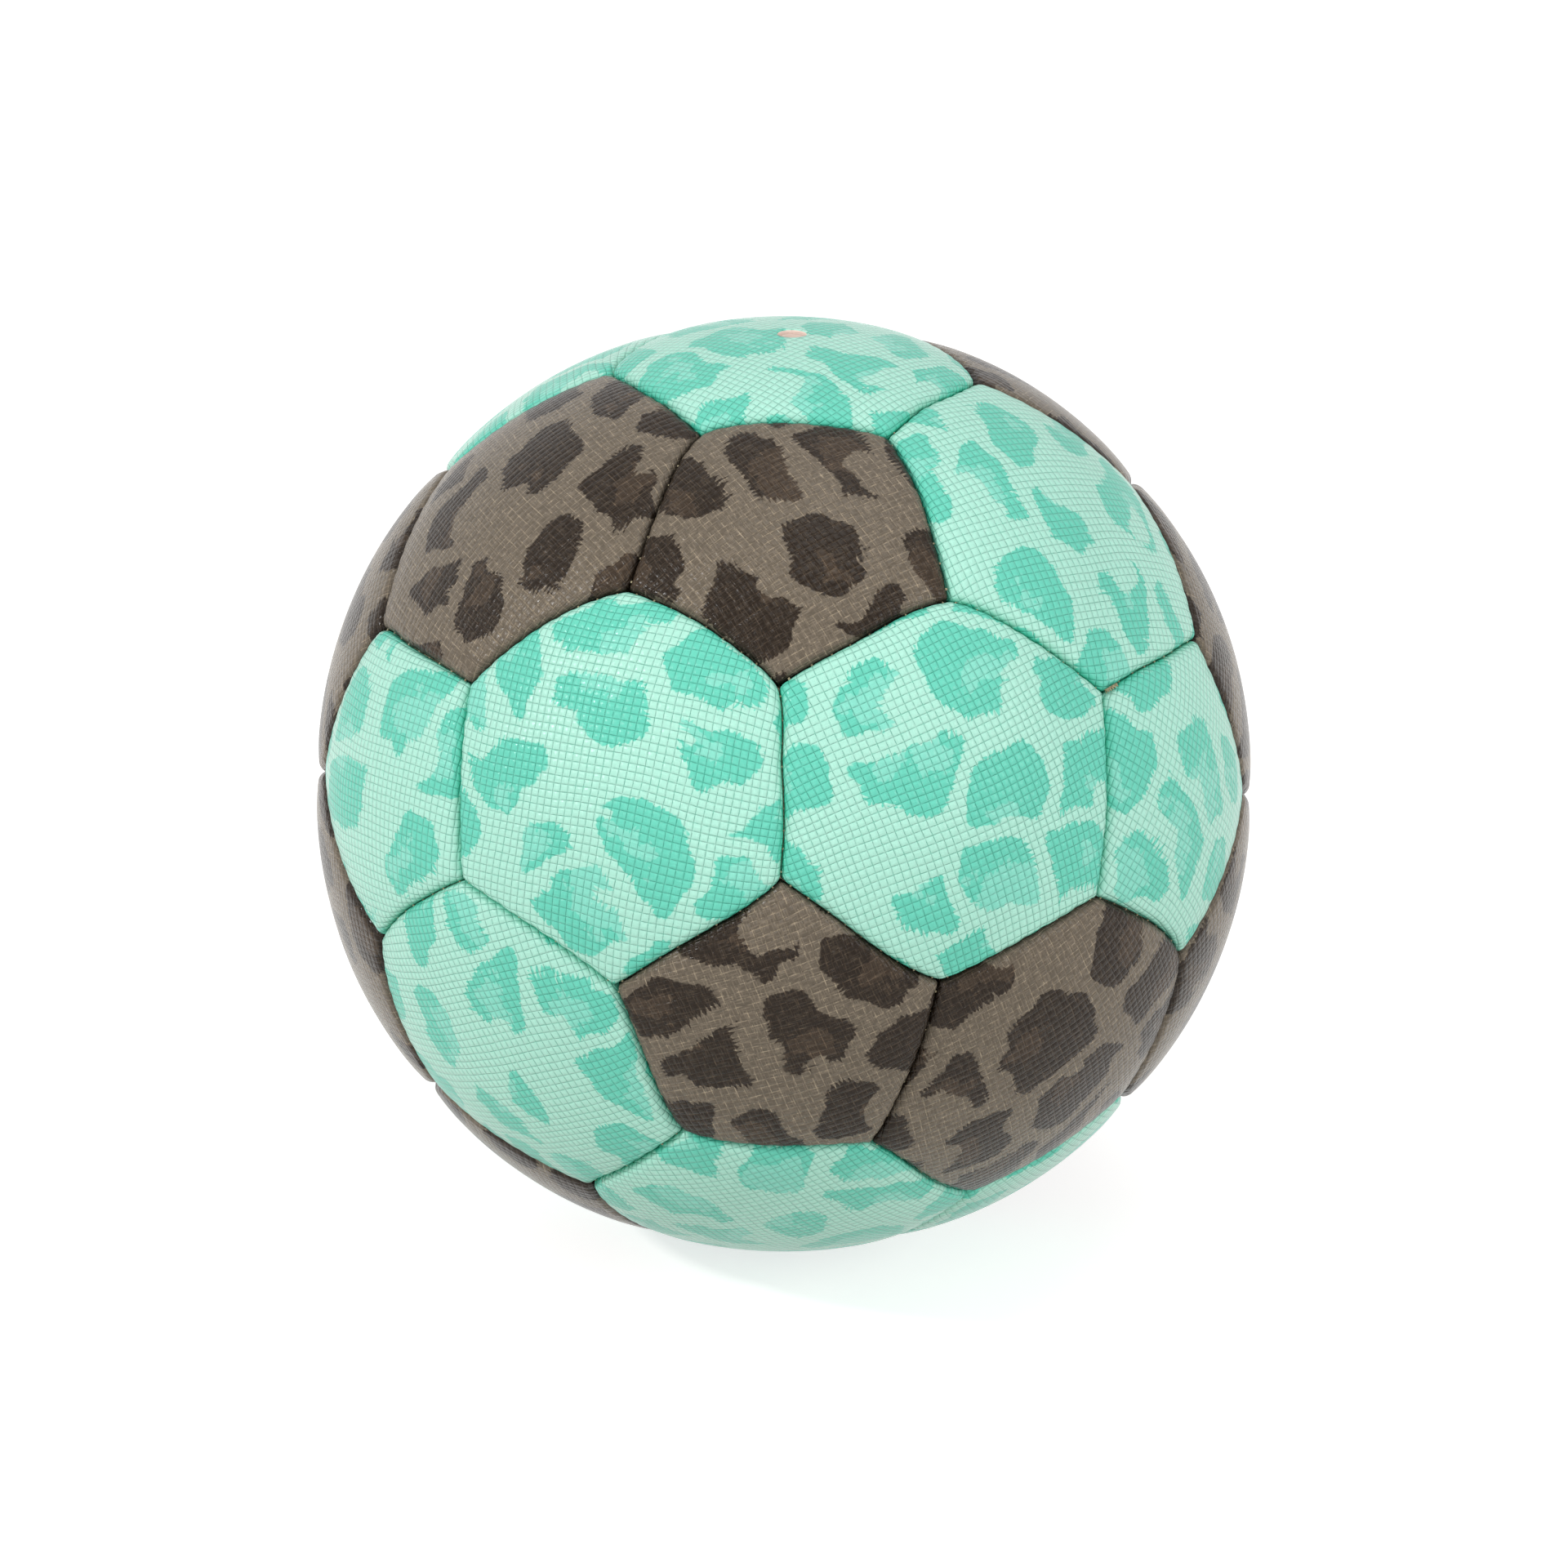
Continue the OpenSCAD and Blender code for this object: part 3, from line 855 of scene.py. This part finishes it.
def layers(name, slot, panels, hole_r, top_of, bottom):
    """The layers behind some panels as one piece, with a hole behind the valve panel."""
    bm = bmesh.new()
    for panel in panels:
        hole = hole_r if panel is VALVE_PANEL else 0
        layer = gathered(layer_shape(panel, top_of(panel), bottom, hole), [panel.matrix])
        bm.from_mesh(to_mesh(layer, "layer"))
    return on_ball(name, to_mesh(bm, name), [FINISHES[slot]])


def foam_top(panel):
    return lambda tilt: panel.crown(tilt) - BACK_DEPTH - PLY_GAP


def level_at(radius):
    return lambda tilt: np.full_like(tilt, radius)


for sides, kind in ((6, "hexagon"), (5, "pentagon")):
    behind = [panel for panel in PANELS if panel.sides == sides]
    pads = layers(f"{kind}_foam_pads", "foam", behind, NECK_HOLE_R, foam_top, level_at(FOAM_IN_R))
    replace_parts(pads, f"{kind}_foam_backings")
    cloths = layers(f"{kind}_cloth_linings", "lining_cloth", behind, PATCH_HOLE_R,
                    lambda panel: level_at(FOAM_IN_R - PLY_GAP), level_at(LINING_IN_R))
    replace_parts(cloths, f"{kind}_linings")


# Stitches that cross the seams, and the end of the last thread

def seam_frame(a, b):
    """Axes at the middle of a seam: along it, across it and outwards, as the columns of a matrix."""
    start, end = turned(a.axis), turned(b.axis)
    along = start.cross(end).normalized()
    middle = start.slerp(end, a.half / (a.half + b.half))
    return Matrix((along, middle.cross(along), middle)).transposed()


def slid(place, distance):
    """A seam's axes moved along the seam."""
    return Matrix.Rotation(distance / BALL_R, 3, place.col[1]) @ place


def raised(place, radius):
    """Axes as a placement at a radius."""
    return Matrix.Translation(place.col[2] * radius) @ place.to_4x4()


def seams():
    """The pairs of panels that share a seam. The hexagons come first among the panels."""
    for i, a in enumerate(PANELS):
        for b in PANELS[i + 1:]:
            if a.sides == 6 and sewn(b.axis, b.sides, a.axis):
                yield a, b


# The bottom of a seam, and the turn that lays a circle's axis along X
BOTTOM_R = BALL_R - CROWN_DROP - SHOULDER_DROP - ROLL_DEPTH
ALONG_X = Matrix.Rotation(math.pi / 2, 4, "Y")


def stitch_shape():
    """A thread that arches over the bottom of a seam: along X, across Y, with its top on Z."""
    bm = bmesh.new()
    place = Matrix.Translation((0, -STITCH_ARCH_R, 0))
    start = bmesh.ops.create_circle(bm, segments=STITCH_SIDES, radius=STITCH_THREAD_R, matrix=place)["verts"]
    bmesh.ops.spin(bm, geom=start + bm.edges[:], cent=(0, 0, 0), axis=(-1, 0, 0), angle=math.pi,
                   steps=STITCH_STEPS)
    bmesh.ops.holes_fill(bm, edges=boundary(bm), sides=STITCH_SIDES)
    return to_mesh(bm, "stitch")


def half_seam_angle():
    """Half of a seam, as an angle at the middle of the ball."""
    return math.atan(math.tan(math.pi / 6) * math.sin(HEXAGON_HALF))


def thread_run():
    """The thread deep in a seam, short of its corners, with its middle at the top of the ball."""
    bm = bmesh.new()
    half = half_seam_angle() - RUN_END / BALL_R
    place = Matrix.Rotation(-half, 4, "Y") @ Matrix.Translation((0, 0, BOTTOM_R - RUN_DEPTH)) @ ALONG_X
    start = bmesh.ops.create_circle(bm, segments=RUN_SIDES, radius=RUN_R, matrix=place)["verts"]
    bmesh.ops.spin(bm, geom=start + bm.edges[:], cent=(0, 0, 0), axis=(0, 1, 0), angle=2 * half,
                   steps=RUN_STEPS)
    bmesh.ops.holes_fill(bm, edges=boundary(bm), sides=RUN_SIDES)
    return to_mesh(bm, "run")


def seam_threads():
    """The thread of every seam: a run along its bottom, and a row of stitches over the run."""
    rows = range(-STITCHES_EACH_WAY, STITCHES_EACH_WAY + 1)
    frames = [seam_frame(a, b) for a, b in seams()]
    radius = BOTTOM_R + STITCH_OVER - STITCH_ARCH_R - STITCH_THREAD_R
    luck = random.Random(STITCH_SEED)
    places = [raised(slid(place, k * STITCH_PITCH + luck.uniform(-STITCH_STRAY, STITCH_STRAY)),
                     radius - luck.uniform(0, STITCH_SUNK)) for place in frames for k in rows]
    bm = gathered(stitch_shape(), places)
    bm.from_mesh(to_mesh(gathered(thread_run(), frames), "runs"))
    mesh = to_mesh(bm, "seam_threads")
    return on_ball("seam_threads", mesh, [FINISHES["waxed_thread"]])


def thread_end():
    """The end of a two-ply thread, left in a seam beside its corner."""
    bm = bmesh.new()
    for side in (1, -1):
        ply = Matrix.Translation((0, side * PLY_R, 0)) @ ALONG_X
        start = bmesh.ops.create_circle(bm, segments=END_SIDES, radius=PLY_R, matrix=ply)["verts"]
        edges = list(dict.fromkeys(e for v in start for e in v.link_edges))
        bmesh.ops.spin(bm, geom=start + edges, cent=(0, 0, 0), axis=(1, 0, 0), angle=2 * math.pi * END_TURNS,
                       steps=END_STEPS, dvec=(END_LENGTH / END_STEPS, 0, 0))
    bmesh.ops.holes_fill(bm, edges=boundary(bm), sides=END_SIDES)
    right, above = PANELS_BY_NODE["pentagon_panel_11"], PANELS_BY_NODE["hexagon_panel_08"]
    place = seam_frame(above, right)
    inward = turned(PANELS_BY_NODE["hexagon_panel_19"].axis).dot(place.col[0])
    half_seam = BALL_R * half_seam_angle()
    start = half_seam - END_LENGTH if inward > 0 else -half_seam
    place = raised(slid(place, start), BALL_R - CROWN_DROP - SHOULDER_DROP - PLY_R)
    bmesh.ops.transform(bm, matrix=place, verts=bm.verts[:])
    return on_ball("thread_end", to_mesh(bm, "thread_end"), [FINISHES["waxed_thread"]])


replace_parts(seam_threads(), "hexagon_seam_threads", "pentagon_seam_threads")
thread_end()


# Bladder, and the CAD nodes that keep their shape

def bladder_skin():
    """A thin ball with a round opening for the valve."""
    bm = bmesh.new()
    rim_at = math.asin(NECK_HOLE_R / BLADDER_R)
    start = bm.verts.new((NECK_HOLE_R, 0, BLADDER_R * math.cos(rim_at)))
    bmesh.ops.spin(bm, geom=[start], axis=(0, 1, 0), cent=(0, 0, 0), angle=math.pi - rim_at,
                   steps=BLADDER_STEPS[0])
    bmesh.ops.spin(bm, geom=bm.verts[:] + bm.edges[:], axis=(0, 0, 1), cent=(0, 0, 0), angle=2 * math.pi,
                   steps=BLADDER_STEPS[1], use_merge=True)
    bmesh.ops.remove_doubles(bm, verts=bm.verts[:], dist=BLADDER_MERGE)
    bmesh.ops.recalc_face_normals(bm, faces=bm.faces[:])
    bmesh.ops.solidify(bm, geom=bm.faces[:], thickness=BLADDER_T)
    return on_ball("bladder_skin", to_mesh(bm, "bladder_skin"), [FINISHES["latex"]])


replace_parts(bladder_skin(), "bladder")

KEPT = {"valve_patch": "latex_patch", "valve_housing": "valve_rubber", "valve_core": "core_rubber"}
for node, slot in KEPT.items():
    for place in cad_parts[node].material_slots:
        place.material = FINISHES[slot]


# Studio

FLOOR_HALF = 3.0
FLOOR_COLOUR = "d3d1cd"
FLOOR_ROUGHNESS = 0.9
FLOOR_GLOW = (0.66, 0.66, 0.67, 1)
WORLD_LIGHT = 0.5
CAMERA_FAR = 12.4 * BALL_R
CAMERA_ELEVATION = math.radians(20.9)
CAMERA_ROLL = math.radians(1.26)
CAMERA_RANGE = (0.01, 50)
LENS = 133.6

# Each lamp's place, width, height and power
SOFTBOXES = {
    "key": ((-1.41, -0.68, 0.98), 0.14, 0.14, 15.5),
    "top": ((0.3, -0.2, 2.2), 1.1, 1.1, 10),
    "fill": ((1.3, -0.75, 0.6), 0.3, 0.9, 8.4),
    "front": ((-0.2, -2.0, 0.5), 0.9, 0.6, 7.5),
}


def white_floor():
    """A pale floor that looks white and keeps the ball's shadow."""
    bm = bmesh.new()
    bmesh.ops.create_grid(bm, x_segments=2, y_segments=2, size=FLOOR_HALF)
    bmesh.ops.translate(bm, verts=bm.verts[:], vec=(0, 0, -BALL_R))
    mesh = bpy.data.meshes.new("floor")
    bm.to_mesh(mesh)
    bm.free()
    f = Finish("floor", FLOOR_ROUGHNESS, Specular_IOR_Level=0, Emission_Color=FLOOR_GLOW)
    f.colour(linear(FLOOR_COLOUR))
    f.put(f.white_seen(), f.shader.inputs["Emission Strength"])
    mesh.materials.append(f.material)
    obj = bpy.data.objects.new("floor", mesh)
    bpy.context.scene.collection.objects.link(obj)


def white_world():
    """An even light from all sides, which the camera and reflections see as white."""
    world = bpy.data.worlds.new("studio")
    world.use_nodes = True
    nodes = Nodes(world.node_tree)
    background = world.node_tree.nodes["Background"].inputs
    background["Color"].default_value = (1, 1, 1, 1)
    nodes.put(nodes.between(nodes.white_seen(), (WORLD_LIGHT, 1)), background["Strength"])
    bpy.context.scene.world = world


def softbox(name, place, width, height, power):
    """A lamp that faces the ball."""
    light = bpy.data.lights.new(name, "AREA")
    light.shape = "RECTANGLE"
    light.size, light.size_y, light.energy = width, height, power
    obj = bpy.data.objects.new(name, light)
    obj.location = place
    obj.rotation_euler = (-Vector(place)).to_track_quat("-Z", "Y").to_euler()
    bpy.context.scene.collection.objects.link(obj)


def portrait_camera():
    """The photo's viewpoint."""
    data = bpy.data.cameras.new("camera")
    data.lens = LENS
    data.clip_start, data.clip_end = CAMERA_RANGE
    obj = bpy.data.objects.new("camera", data)
    back = Vector((0, -math.cos(CAMERA_ELEVATION), math.sin(CAMERA_ELEVATION)))
    look = (-back).to_track_quat("-Z", "Y").to_matrix().to_4x4()
    obj.matrix_world = Matrix.Translation(back * CAMERA_FAR) @ look @ Matrix.Rotation(CAMERA_ROLL, 4, "Z")
    bpy.context.scene.collection.objects.link(obj)
    bpy.context.scene.camera = obj


white_floor()
white_world()
for name, lamp in SOFTBOXES.items():
    softbox(name, *lamp)
portrait_camera()
bpy.context.scene.view_settings.view_transform = "Standard"
